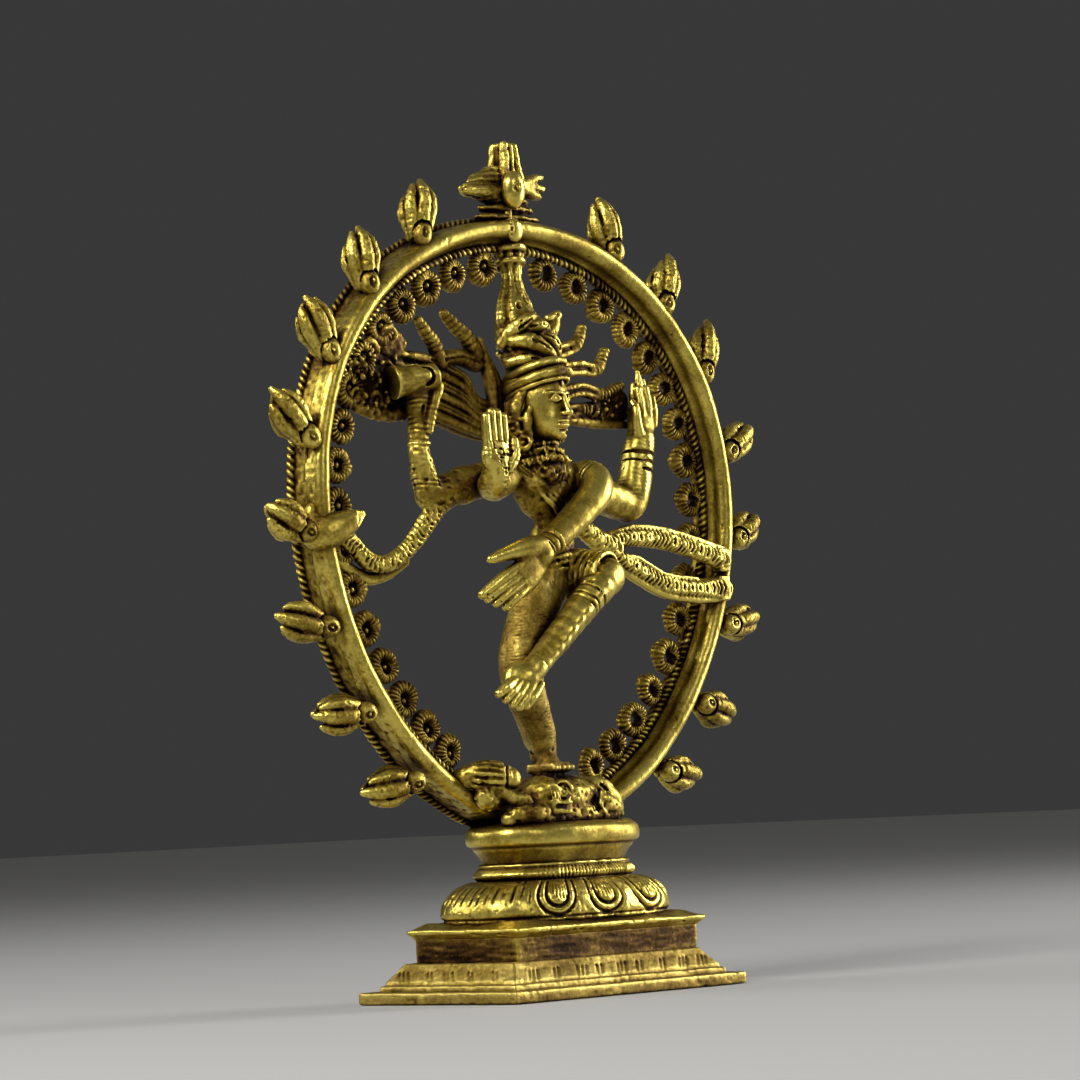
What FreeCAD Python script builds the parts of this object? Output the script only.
import FreeCAD, Part

import math
import os

from FreeCAD import Matrix, Vector

# Small cast brass statue of a four-armed dancing figure in a ring of flames, in millimetres.
# +Z is up, the front of the statue faces -Y and +X is to the viewer's right seen from the front.
# The origin is at the centre of the underside of the plinth.
# Left and right in the names of ring parts are the viewer's; in the names of limbs they are the figure's own.

# ---- plinth and seat
PLINTH_WIDTH = 65.4
PLINTH_DEPTH = 41.4
SLAB_TOP = 2.4
MOULDING_TOP = 7.4
NECK_TOP = 12.0
FLANGE_TOP = 14.9
SLAB_LIP = 3.0
MOULDING_INSET = 6.3
NECK_INSET = 7.4
FLANGE_INSET = 6.0
CUSHION_TOP = 22.2
COLLAR_TOP = 25.1
SEAT_TOP = 33.0
SEAT_HALF_WIDTH = 19.6
SEAT_HALF_DEPTH = 11.6
UPPER_SHIFT = Vector(0.8, -0.6, 0)

# ---- flame ring: half width and half height of its centre line, and how much it narrows towards the bottom
RING_HALF_WIDTH = 56.4
RING_HALF_HEIGHT = 57.2
RING_CENTRE_Z = 90.2
RING_TAPER = 0.091
RING_END_ANGLE = 168.0
HOOP_WIDTH = 3.6
HOOP_FRONT_Y = -1.7
HOOP_BACK_Y = 2.4
BAND_INNER = -3.0
BAND_OUTER = 1.7
BAND_BACK_Y = 6.2
ROPE_SIZE = 1.5
OUTER_ROPE_BACK_Y = 6.4
INNER_ROPE_BACK_Y = 4.2

# ---- rosettes inside the ring
ROSETTES_PER_SIDE = 17
ROSETTE_FIRST_ANGLE = {-1: 8.0, 1: 10.3}
ROSETTE_PITCH_ANGLE = {-1: 8.8, 1: 9.2}
ROSETTE_INSET = 7.1
ROSETTE_RADIUS = 3.5
ROSETTE_THICKNESS = 2.4
ROSETTE_HOLE_RADIUS = 1.15
ROSETTE_Y = 3.4

# ---- flames round the ring
FLAMES_PER_SIDE = 8
FLAME_FIRST_ANGLE = 25.0
FLAME_PITCH_ANGLE = 16.6
FLAME_OFFSETS = (3.2, 2.6, 2.9, 3.3, 4.3, 4.9, 4.9, 5.1)
FLAME_TILT_LEFT = (-12, 0, 17, 38, 58, 78, 90, 97)
FLAME_TILT_RIGHT = (-6, 22, 20, 58, 62, 82, 104, 98)
FLAME_LENGTH = 10.4
FLAME_BACK_LEAN = 0.2
BUD_RADIUS = 1.75

# ---- crest on top of the ring
TOTAL_HEIGHT = 165.0
CREST_Y = 3.2


def fused(shapes):
    """Joins overlapping solids into one solid."""
    first = shapes[0]
    return first.multiFuse(shapes[1:]).removeSplitter() if len(shapes) > 1 else first


def ball(centre, radius):
    """A sphere."""
    return Part.makeSphere(radius, Vector(*centre))


def egg(centre, radii):
    """An ellipsoid with its axes along X, Y and Z."""
    stretch = Matrix()
    stretch.scale(*radii)
    shape = Part.makeSphere(1.0).transformGeometry(stretch)
    shape.translate(Vector(*centre))
    return shape


def rod(start, end, start_radius, end_radius):
    """A straight round bar between two points, tapered when the radii differ."""
    axis = Vector(*end) - Vector(*start)
    if abs(start_radius - end_radius) < 0.01:
        return Part.makeCylinder(start_radius, axis.Length, Vector(*start), axis)
    return Part.makeCone(start_radius, end_radius, axis.Length, Vector(*start), axis)


def limb(stations):
    """A round-jointed bar through stations, each (x, y, z, radius)."""
    shapes = [ball(s[:3], s[3]) for s in stations]
    for a, b in zip(stations, stations[1:]):
        shapes.append(rod(a[:3], b[:3], a[3] * 0.995, b[3] * 0.995))
    return fused(shapes)


def turned(outline, centre, axis):
    """A solid of revolution from an outline of (distance along the axis, radius), through centre."""
    side = Vector(0, 0, 1)
    points = [Vector(*centre) + axis * along + side * radius for along, radius in outline]
    face = Part.Face(Part.makePolygon(points + points[:1]))
    return face.revolve(Vector(*centre), axis, 360)


def tilted(shape, direction, place):
    """Turns a shape that stands along +Z to lie along direction, then moves its origin to place."""
    turn = FreeCAD.Rotation(Vector(0, 0, 1), Vector(*direction))
    shape = shape.copy()
    shape.Placement = FreeCAD.Placement(Vector(*place), turn)
    return shape


# ---- plinth and seat


def rectangle(width, depth, z):
    corners = [(-1, -1), (1, -1), (1, 1), (-1, 1), (-1, -1)]
    return Part.makePolygon([Vector(cx * width / 2, cy * depth / 2, z) for cx, cy in corners])


def rectangular_block(levels):
    """A solid through rectangles, each level (inset from the slab's edge, z)."""
    wires = [rectangle(PLINTH_WIDTH - 2 * inset, PLINTH_DEPTH - 2 * inset, z) for inset, z in levels]
    return Part.makeLoft(wires, True, True)


def oval(half_width, half_depth, z, squareness):
    """A closed smooth outline between an ellipse, squareness 2, and a rounded rectangle, squareness 4."""
    points = []
    for i in range(24):
        a = 2 * math.pi * i / 24
        c, s = math.cos(a), math.sin(a)
        x = half_width * math.copysign(abs(c) ** (2 / squareness), c)
        y = half_depth * math.copysign(abs(s) ** (2 / squareness), s)
        points.append(Vector(x, y, z))
    curve = Part.BSplineCurve()
    curve.interpolate(points, PeriodicFlag=True)
    return Part.Wire([curve.toShape()])


def shifted(shape):
    """The neck and all that stands on it sit a little off the middle of the slab."""
    shape.translate(UPPER_SHIFT)
    return shape


def oval_block(levels, squareness):
    """A solid through ovals, each level (half width, half depth, z)."""
    return Part.makeLoft([oval(a, b, z, squareness) for a, b, z in levels], True, True)


def make_plinth_slab():
    return rectangular_block([(0, 0), (0, SLAB_TOP)])


def make_plinth_moulding():
    step = SLAB_TOP + 0.9
    levels = [(SLAB_LIP, SLAB_TOP), (SLAB_LIP + 0.6, step), (MOULDING_INSET, MOULDING_TOP)]
    return rectangular_block(levels)


def make_plinth_neck():
    return shifted(rectangular_block([(NECK_INSET, MOULDING_TOP), (NECK_INSET, NECK_TOP)]))


def make_plinth_flange():
    lip = NECK_TOP + 1.0
    levels = [(NECK_INSET, NECK_TOP), (FLANGE_INSET, lip), (FLANGE_INSET, lip + 0.8)]
    levels.append((FLANGE_INSET + 2.6, FLANGE_TOP))
    return shifted(rectangular_block(levels))


def make_lotus_cushion():
    levels = [(24.6, 12.9, FLANGE_TOP - 0.6), (25.4, 13.9, 16.6), (24.6, 13.4, 19.2)]
    levels += [(21.6, 11.6, 21.2), (19.0, 10.2, CUSHION_TOP)]
    return shifted(oval_block(levels, 2.9))


def make_beaded_collar():
    levels = [(18.0, 10.2, CUSHION_TOP), (18.2, 10.4, CUSHION_TOP + 1.2), (17.0, 9.8, COLLAR_TOP)]
    return shifted(oval_block(levels, 2.6))


def make_seat_disc():
    a, b = SEAT_HALF_WIDTH, SEAT_HALF_DEPTH
    levels = [(a - 2.8, b - 1.9, COLLAR_TOP), (a - 1.7, b - 1.2, 27.2), (a - 0.4, b - 0.3, 29.0)]
    levels += [(a, b, 30.6), (a - 0.5, b - 0.4, 31.9), (a - 2.2, b - 1.6, SEAT_TOP)]
    return shifted(oval_block(levels, 2.5))


# ---- flame ring


def ring_place(angle, outward=0.0):
    """Centre line of the ring at an angle in degrees from its top, moved outward: x, z and outward direction."""
    t = math.radians(angle)
    narrowing = 1 + RING_TAPER * math.cos(t)
    x = RING_HALF_WIDTH * math.sin(t) * narrowing
    z = RING_CENTRE_Z + RING_HALF_HEIGHT * math.cos(t)
    along_x = RING_HALF_WIDTH * (math.cos(t) * narrowing - RING_TAPER * math.sin(t) ** 2)
    along_z = -RING_HALF_HEIGHT * math.sin(t)
    size = math.hypot(along_x, along_z)
    nx, nz = -along_z / size, along_x / size
    return x + nx * outward, z + nz * outward, nx, nz


def ring_curve(outward, y, steps=40):
    """A smooth curve beside the ring's centre line, from its left foot over the top to its right foot."""
    points = []
    for i in range(steps + 1):
        angle = RING_END_ANGLE * (2 * i / steps - 1)
        x, z = ring_place(abs(angle), outward)[:2]
        points.append(Vector(math.copysign(x, angle) if angle else 0.0, y, z))
    curve = Part.BSplineCurve()
    curve.interpolate(points)
    return curve.toShape(), points[0], points[-1]


def ring_strip(inner, outer, front_y, back_y):
    """A flat hoop between two outward offsets of the ring's centre line, open at the feet."""
    outer_edge, outer_start, outer_end = ring_curve(outer, front_y)
    inner_edge, inner_start, inner_end = ring_curve(inner, front_y)
    ends = [Part.LineSegment(outer_end, inner_end).toShape()]
    ends.append(Part.LineSegment(inner_start, outer_start).toShape())
    wire = Part.Wire(Part.__sortEdges__([outer_edge, inner_edge] + ends))
    return Part.Face(wire).extrude(Vector(0, back_y - front_y, 0))


def make_ring_hoop():
    half = HOOP_WIDTH / 2
    nose = ring_strip(-half + 0.9, half - 0.9, HOOP_FRONT_Y, HOOP_FRONT_Y + 0.8)
    body = ring_strip(-half, half, HOOP_FRONT_Y + 0.8, HOOP_BACK_Y)
    return nose.fuse(body)


def make_ring_band():
    return ring_strip(BAND_INNER, BAND_OUTER, HOOP_BACK_Y, BAND_BACK_Y)


def make_outer_rope():
    """The cord moulding on the outer edge of the band."""
    return ring_strip(BAND_OUTER, BAND_OUTER + ROPE_SIZE, OUTER_ROPE_BACK_Y - ROPE_SIZE, OUTER_ROPE_BACK_Y)


def make_inner_rope():
    """The cord moulding on the inner edge of the band."""
    return ring_strip(BAND_INNER - ROPE_SIZE, BAND_INNER, INNER_ROPE_BACK_Y - ROPE_SIZE, INNER_ROPE_BACK_Y)


def make_rosettes(side):
    """One side's row of pierced rosettes, each a ring whose hole runs front to back."""
    shapes = []
    for i in range(ROSETTES_PER_SIDE):
        angle = ROSETTE_FIRST_ANGLE[side] + i * ROSETTE_PITCH_ANGLE[side]
        x, z = ring_place(angle, -ROSETTE_INSET)[:2]
        start = Vector(side * x, ROSETTE_Y - ROSETTE_THICKNESS / 2, z)
        disc = Part.makeCylinder(ROSETTE_RADIUS, ROSETTE_THICKNESS, start, Vector(0, 1, 0))
        hole = Part.makeCylinder(ROSETTE_HOLE_RADIUS, ROSETTE_THICKNESS, start, Vector(0, 1, 0))
        shapes.append(disc.cut(hole))
    return Part.makeCompound(shapes)


def make_flame(side, index):
    """A round bud on the ring's outer edge with five tongues fanned behind it."""
    angle = FLAME_FIRST_ANGLE + index * FLAME_PITCH_ANGLE
    x, z = ring_place(angle, FLAME_OFFSETS[index])[:2]
    tilt = math.radians((FLAME_TILT_LEFT if side < 0 else FLAME_TILT_RIGHT)[index])
    shapes = [ball((0, 0, 0), BUD_RADIUS)]
    for k in range(5):
        fan = math.radians(13 * (k - 2))
        reach = FLAME_LENGTH * (1.0, 0.9, 0.74)[abs(k - 2)]
        depth = 0.6 * (1 - abs(k - 2))
        middle = (0.55 * reach * math.sin(fan) * 1.25, depth, 0.5 * reach)
        tip = (reach * math.sin(fan) * 0.8, depth, reach * math.cos(fan) - 0.5)
        root = (0.3 * (k - 2), 0, 1.2)
        shapes.append(limb([root + (1.0,), middle + (1.15,), tip + (0.5,)]))
    direction = (side * math.sin(tilt), FLAME_BACK_LEAN, math.cos(tilt))
    return tilted(fused(shapes), direction, (side * x, 0.6, z))


# ---- crest on top of the ring


def make_crest_foot():
    levels = [(9.8, 2.8, 147.6), (8.2, 2.6, 150.2), (6.6, 2.4, 152.8)]
    shape = oval_block(levels, 2.4)
    shape.translate(Vector(0, CREST_Y, 0))
    return shape


def make_crest_leaf():
    """A horizontal boat of leaves, pointed at both ends."""
    outline = [(-12.8, 0.0), (-9.4, 1.7), (-4.0, 3.0), (2.0, 3.2), (7.0, 2.6), (10.0, 1.5), (10.6, 0.0)]
    return turned(outline, (0, CREST_Y, 155.1), Vector(1, 0, 0))


def make_crest_spindle():
    """The upright spindle in front of the leaf, with a clasp that runs down over the hoop."""
    front = -0.6
    spindle = egg((-1.2, front, 155.2), (2.5, 2.1, 3.8))
    return fused([spindle, limb([(-1.3, front, 152.4, 1.4), (-1.7, -0.8, 149.6, 1.2), (-2.0, -1.2, 146.8, 1.6)])])


def make_crest_finial():
    """The fluted square stub that tops the statue."""
    shapes = []
    for cx, cy in ((-1, -1), (1, -1), (1, 1), (-1, 1)):
        foot = (1.25 * cx, CREST_Y + 1.25 * cy, 157.4)
        head = (0.85 * cx, CREST_Y + 0.85 * cy, TOTAL_HEIGHT)
        shapes.append(rod(foot, head, 1.7, 1.35))
    block = Part.makeBox(5, 5, 6, Vector(-2.5, CREST_Y - 2.5, TOTAL_HEIGHT))
    return fused(shapes).cut(block)


def make_cone_knob():
    """The horn that springs from the front of the hoop on the left."""
    return limb([(-57.4, 0.4, 88.0, 2.6), (-54.0, -1.6, 89.2, 2.3), (-49.6, -3.4, 90.9, 0.9)])


# ---- figure


def make_torso():
    shapes = [egg((1.2, -2.4, 96.6), (7.4, 4.6, 6.2)), egg((2.6, -2.4, 86.4), (5.2, 3.9, 5.4))]
    shapes += [egg((3.6, -1.9, 80.2), (7.2, 4.7, 4.8)), limb([(-0.4, -2.6, 100.0, 3.4), (-1.4, -3.0, 105.2, 2.8)])]
    shapes.append(limb([(-10.6, -1.6, 99.6, 2.9), (10.4, -3.0, 99.0, 3.0)]))
    return fused(shapes)


def make_head():
    shapes = [egg((-1.3, -3.7, 113.6), (5.7, 6.6, 7.6)), egg((-1.1, -5.6, 109.6), (4.2, 4.6, 4.2))]
    return fused(shapes)


def turned_hoop(centre, long_radius, thickness, direction, squash=1.0):
    """A torus squashed along Y, standing across direction."""
    stretch = Matrix()
    stretch.scale(1.0, squash, 1.0)
    shape = Part.makeTorus(long_radius, thickness).transformGeometry(stretch)
    return tilted(shape, direction, centre)


def make_necklace():
    return turned_hoop((-0.8, -3.2, 103.4), 4.0, 1.15, (0.05, 0.25, 1.0))


def make_headbands():
    lower = turned_hoop((-1.3, -3.5, 117.6), 5.7, 0.85, (0, 0.1, 1), 1.14)
    upper = turned_hoop((-1.3, -3.2, 119.6), 5.1, 0.8, (0, 0.1, 1), 1.12)
    return Part.makeCompound([lower, upper])


def make_hair_knot():
    shapes = [egg((-1.6, -2.2, 122.6), (5.6, 5.2, 4.0)), egg((-2.6, -0.8, 127.4), (5.4, 4.4, 3.4))]
    return fused(shapes)


def make_feather_crest():
    stations = [(-2.6, 0.2, 128.6, 3.6), (-1.6, 1.6, 134.2, 1.9), (-0.6, 2.6, 139.4, 1.7), (-0.2, 3.2, 144.2, 2.4)]
    return limb(stations)


def make_crescent():
    return limb([(2.6, -2.6, 125.4, 1.6), (4.8, -2.8, 127.4, 1.3), (6.6, -2.6, 130.4, 0.8)])


def make_earrings():
    """A heavy ear ornament with curls on each side of the head."""
    left = limb([(4.9, -3.0, 112.6, 1.6), (5.3, -3.2, 108.4, 2.2)])
    right = limb([(-7.2, -3.4, 113.6, 1.9), (-7.6, -3.8, 108.8, 2.6), (-6.6, -3.6, 105.6, 1.7)])
    return Part.makeCompound([left, right])


def make_hair_fan_left():
    """Flying hair on the viewer's left: flat locks spread from behind the head to the ring."""
    tips = [(-17.6, 129.0), (-21.6, 128.6), (-33.4, 124.4), (-38.6, 119.6), (-41.6, 114.8), (-40.4, 109.8)]
    root = (-5.6, 1.6, 113.6)
    shapes = []
    for i, (x, z) in enumerate(tips):
        middle = (0.5 * (root[0] + x), 2.6, 0.5 * (root[2] + z) + 1.2 - 0.5 * i)
        shapes.append(limb([root + (2.6,), middle + (2.2,), (x, 3.8, z, 1.5)]))
    return fused(shapes)


def make_hair_locks_right():
    """Flying hair on the viewer's right: separate curled locks from behind the head."""
    tips = [(19.0, 129.2), (25.6, 124.8), (30.6, 119.2), (36.4, 113.2), (34.4, 109.2)]
    roots = [118.6, 116.8, 114.6, 112.6, 111.0]
    shapes = []
    for (x, z), root_z in zip(tips, roots):
        bend = (0.72 * x, 2.4, 0.35 * z + 0.65 * root_z - 1.4)
        shapes.append(limb([(1.6, 0.8, root_z, 2.0), bend + (1.35,), (x, 2.8, z, 0.9)]))
    return fused(shapes)


def make_arm_rear_right():
    """Raised arm at the back that holds the drum."""
    arm = [(-10.8, -1.2, 99.2, 3.3), (-27.8, 0.0, 95.2, 3.0), (-30.4, 0.0, 103.4, 2.2), (-30.2, 0.0, 110.0, 1.9)]
    hand = [(-30.2, 0.0, 110.0, 1.9), (-30.6, -0.6, 113.6, 2.3)]
    fingers = [(-29.0, -2.4, 114.2, 1.0), (-28.4, -2.6, 117.0, 0.9)]
    return fused([limb(arm), limb(hand), limb(fingers)])


def make_arm_rear_left():
    """Raised arm at the back whose fingers hold the flame."""
    arm = [(10.8, -1.4, 98.6, 3.2), (27.2, -0.4, 94.5, 3.3), (30.6, -0.4, 103.6, 2.9)]
    hand = [(30.6, -0.4, 103.6, 2.9), (32.4, -0.4, 109.6, 3.0), (32.8, -0.2, 113.4, 2.2)]
    return fused([limb(arm), limb(hand)])


def make_arm_front_right():
    """Front arm with the open palm raised towards the viewer."""
    arm = [(-10.8, -3.0, 98.4, 3.0), (-19.4, -8.0, 96.6, 2.7), (-22.0, -11.8, 99.6, 2.2)]
    shapes = [limb(arm), egg((-22.4, -12.4, 101.6), (3.3, 1.7, 3.9))]
    for k in range(4):
        x = -24.9 + 1.55 * k
        tip_z = (108.6, 110.2, 110.0, 108.8)[k]
        shapes.append(limb([(x, -12.3, 103.0, 0.85), (x - 0.2, -12.2, tip_z, 0.7)]))
    shapes.append(limb([(-20.2, -12.8, 100.6, 1.0), (-18.2, -13.2, 103.4, 0.75)]))
    return fused(shapes)


def make_arm_front_left():
    """Front arm that crosses the body, its hand hanging like an elephant's trunk."""
    arm = [(10.6, -4.2, 98.8, 3.2), (8.8, -9.4, 96.0, 3.0), (-7.1, -10.2, 86.2, 2.4)]
    palm = [(-7.1, -10.2, 86.2, 2.3), (-12.4, -10.2, 81.3, 2.8), (-15.2, -10.2, 79.4, 2.5)]
    shapes = [limb(arm), limb(palm)]
    for k in range(4):
        knuckle = (-16.0 + 0.5 * k, -10.3, 81.0 - 1.35 * k)
        tip = (-23.6 + 1.65 * k, -8.3 - 0.35 * k, 76.1 - 0.75 * k)
        shapes.append(limb([knuckle + (1.15,), tip + (1.0,)]))
    shapes.append(limb([(-9.6, -10.6, 85.2, 1.8), (-22.2, -9.3, 82.7, 0.8)]))
    return fused(shapes)


def make_drum():
    """Hourglass drum lying across the upper right hand, with the ball of its beater at one end."""
    waist = (-32.1, -1.1, 117.1)
    far, near = (-35.8, 0.1, 116.5), (-28.4, -2.3, 117.7)
    return fused([rod(waist, far, 2.4, 3.2), rod(waist, near, 2.4, 2.5), ball((-30.6, -3.4, 117.6), 1.4)])


def make_hand_flame():
    stations = [(33.2, -0.2, 111.6, 1.8), (32.8, 0.0, 116.6, 1.5), (32.6, 0.2, 121.4, 0.5)]
    return limb(stations)


def make_armlets():
    """Rings on the four upper arms and wrists."""
    places = [((10.6, -5.4, 98.0), 3.1, (0.2, 0.8, 0.5)), ((-5.9, -10.2, 87.0), 2.3, (0.85, 0.0, 0.52))]
    places += [((30.4, -0.4, 102.6), 2.8, (0.2, 0, 1)), ((16.6, -1.0, 97.0), 2.8, (0.95, 0, -0.28))]
    places.append(((-30.3, 0.0, 105.4), 1.9, (0, 0, 1)))
    return Part.makeCompound([turned_hoop(c, r, 0.6, d) for c, r, d in places])


def make_leg_standing():
    """Right leg, bent at the knee, with its foot on the dwarf."""
    leg = [(0.4, -2.0, 79.6, 4.6), (-8.2, -3.8, 67.6, 4.3), (-10.4, -4.2, 62.6, 3.9), (-0.6, -0.4, 46.8, 2.7)]
    foot = [(-0.6, -0.4, 45.6, 2.5), (-2.4, -5.4, 43.4, 1.8)]
    return fused([limb(leg), limb(foot)])


def make_leg_raised():
    """Left leg lifted across the body, with the foot hanging free."""
    thigh = [(6.6, -3.4, 80.8, 4.9), (7.6, -10.2, 79.2, 4.5)]
    shin = [(7.2, -10.8, 78.6, 3.7), (-4.6, -10.6, 69.0, 3.0), (-13.0, -10.4, 61.6, 2.3)]
    foot = [(-13.0, -10.6, 61.6, 2.4), (-18.0, -11.2, 59.0, 2.2), (-23.2, -11.2, 57.2, 1.2)]
    toes = [(-16.8, -11.2, 59.0, 2.0), (-18.6, -12.3, 55.2, 1.2)]
    return fused([limb(thigh), limb(shin), limb(foot), limb(toes)])


def make_sash_left():
    """Ribbed scarf from the rear right elbow down and up again to the ring."""
    front = [(-27.6, -0.4, 93.2, 2.4), (-33.0, 0.4, 85.4, 1.6), (-38.6, 1.2, 82.2, 1.5)]
    front += [(-44.0, 2.0, 83.0, 1.5), (-47.6, 2.4, 86.2, 1.5), (-54.8, 2.4, 88.4, 1.6)]
    lower = [(-36.6, 2.8, 80.8, 1.2), (-44.0, 3.4, 80.2, 1.2), (-54.4, 3.6, 84.4, 1.3)]
    return fused([limb(front), limb(lower)])


def make_sash_right():
    """Ribbed scarf from the waist that splits in two and ends flat on the front of the ring."""
    stem = [(9.4, 0.4, 94.0, 1.8), (14.8, -0.2, 89.0, 2.2), (22.0, -0.8, 85.6, 2.3)]
    upper = [(22.0, -0.8, 85.6, 2.0), (36.0, -1.2, 87.2, 1.9), (54.0, -1.4, 84.0, 2.0)]
    lower = [(22.0, -0.8, 85.6, 2.0), (36.0, -1.2, 79.6, 1.9), (53.4, -1.4, 77.6, 2.0)]
    return fused([limb(stem), limb(upper), limb(lower)])


# ---- dwarf under the foot


def make_dwarf_body():
    trunk = egg((-0.6, -1.8, 37.4), (11.6, 7.4, 5.0))
    knee = limb([(8.0, -3.6, 37.8, 3.2), (13.2, -4.0, 36.2, 2.4), (15.0, -4.6, 34.2, 1.2)])
    arm = limb([(-14.8, -6.4, 34.6, 2.0), (-10.6, -8.0, 34.4, 2.0), (-6.0, -4.0, 35.6, 2.0)])
    body = fused([trunk, knee, arm])
    below = Part.makeBox(60, 40, 10, Vector(-30, -20, SEAT_TOP - 10.4))
    return body.cut(below)


def make_dwarf_head():
    return egg((-7.6, -6.4, 37.6), (4.0, 4.2, 4.2))


def make_dwarf_bud():
    """Striped bud that swells from the ring's left foot, with a round eye at its end."""
    return limb([(-21.4, -1.2, 42.8, 2.6), (-18.8, -3.2, 42.2, 3.0), (-14.6, -5.6, 41.4, 2.2)])


PARTS = {
    "plinth_slab": make_plinth_slab,
    "plinth_moulding": make_plinth_moulding,
    "plinth_neck": make_plinth_neck,
    "plinth_flange": make_plinth_flange,
    "lotus_cushion": make_lotus_cushion,
    "beaded_collar": make_beaded_collar,
    "seat_disc": make_seat_disc,
    "ring_hoop": make_ring_hoop,
    "ring_band": make_ring_band,
    "outer_rope": make_outer_rope,
    "inner_rope": make_inner_rope,
    "rosettes_left": lambda: make_rosettes(-1),
    "rosettes_right": lambda: make_rosettes(1),
    "crest_foot": make_crest_foot,
    "crest_leaf": make_crest_leaf,
    "crest_spindle": make_crest_spindle,
    "crest_finial": make_crest_finial,
    "cone_knob": make_cone_knob,
    "torso": make_torso,
    "head": make_head,
    "necklace": make_necklace,
    "headbands": make_headbands,
    "hair_knot": make_hair_knot,
    "feather_crest": make_feather_crest,
    "crescent": make_crescent,
    "earrings": make_earrings,
    "hair_fan_left": make_hair_fan_left,
    "hair_locks_right": make_hair_locks_right,
    "arm_rear_right": make_arm_rear_right,
    "arm_rear_left": make_arm_rear_left,
    "arm_front_right": make_arm_front_right,
    "arm_front_left": make_arm_front_left,
    "drum": make_drum,
    "hand_flame": make_hand_flame,
    "armlets": make_armlets,
    "leg_standing": make_leg_standing,
    "leg_raised": make_leg_raised,
    "sash_left": make_sash_left,
    "sash_right": make_sash_right,
    "dwarf_body": make_dwarf_body,
    "dwarf_head": make_dwarf_head,
    "dwarf_bud": make_dwarf_bud,
}


def main():
    os.makedirs("parts", exist_ok=True)
    for side, word in ((-1, "left"), (1, "right")):
        for index in range(FLAMES_PER_SIDE):
            make_flame(side, index).exportStep(f"parts/flame_{word}_{index + 1}.step")
    for name, make in PARTS.items():
        shape = make()
        if not shape.isValid():
            print("not valid:", name)
        shape.exportStep(f"parts/{name}.step")


main()
